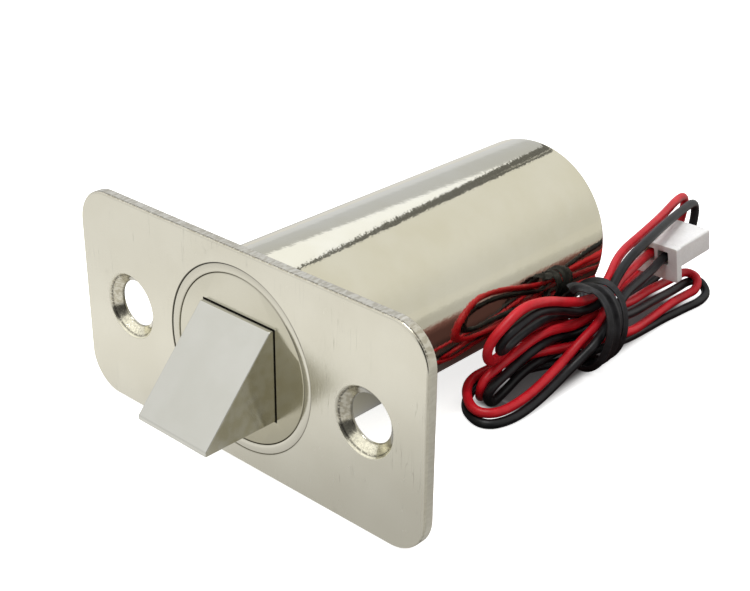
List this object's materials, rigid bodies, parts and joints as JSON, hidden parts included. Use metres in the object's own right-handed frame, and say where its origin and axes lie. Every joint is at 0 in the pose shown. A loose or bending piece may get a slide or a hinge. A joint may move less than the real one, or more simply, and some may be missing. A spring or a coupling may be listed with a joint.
{
  "type": "solenoid latch lock",
  "caption": "Round electric latch lock: sprung bevelled bolt in a steel barrel behind a small screw-on face plate, with tied wire leads ending in a plug.",
  "frame": {"origin": "on the barrel's axis, at the face plate's back (seating) face, midway between its two screw holes", "axes": "+Y along the barrel, away from the face plate; the bolt is thrown towards -Y; +Z towards the bolt's slanted side; +X completes the frame"},
  "size_m": [0.0586, 0.0976, 0.0291],
  "materials": {
    "plate_steel": "nickel plated, tumbled satin",
    "barrel_steel": "nickel plated, polished",
    "guide_steel": "nickel plated, satin",
    "bolt_steel": "nickel plated, smooth",
    "inner_steel": "zinc plated, turned",
    "spring_steel": "drawn spring wire",
    "sleeve_brass": "drawn",
    "bobbin_plastic": "moulded",
    "winding_copper": "enamelled copper wire",
    "tape_film": "polyester film tape",
    "bumper_rubber": "soft",
    "disc_board": "laminate",
    "solder_metal": "tinned",
    "lead_insulation": "wire insulation",
    "cap_steel": "nickel plated, satin",
    "grommet_rubber": "moulded",
    "red_insulation": "soft wire insulation",
    "black_insulation": "soft wire insulation",
    "bundle_insulation": "soft wire insulation",
    "tie_plastic": "flat tie with a soft plastic skin",
    "connector_nylon": "white moulded",
    "terminal_metal": "tinned"
  },
  "bodies": {
    "housing": {"face_plate": "plate_steel", "barrel_tube": "barrel_steel", "guide_block": "guide_steel", "spacer_sleeve": "inner_steel", "return_spring": "spring_steel", "front_pole": "inner_steel", "rear_pole": "inner_steel", "plunger_sleeve": "sleeve_brass", "bobbin": "bobbin_plastic", "winding": "winding_copper", "winding_tape": "tape_film", "fixed_core": "inner_steel", "bumper_washer": "bumper_rubber", "terminal_disc": "disc_board", "solder_joints": "solder_metal", "inner_leads": "lead_insulation", "rear_cap": "cap_steel", "wire_grommet": "grommet_rubber", "red_lead": "red_insulation", "black_lead": "black_insulation", "red_lead_end": "red_insulation", "black_lead_end": "black_insulation", "wire_hank": "bundle_insulation", "wire_tie": "tie_plastic", "connector_housing": "connector_nylon", "crimp_terminals": "terminal_metal"},
    "bolt": {"latch_bolt": "bolt_steel", "plunger": "inner_steel", "bolt_pin": "inner_steel"}
  },
  "joints": [
    {"name": "bolt_slide", "type": "slide", "parent": "housing", "child": "bolt", "axis": [0, 1, 0], "range_m": [0, 0.0105], "stiffness_N_per_m": 150, "springref_m": -0.007, "deforming": ["return_spring"]}
  ]
}
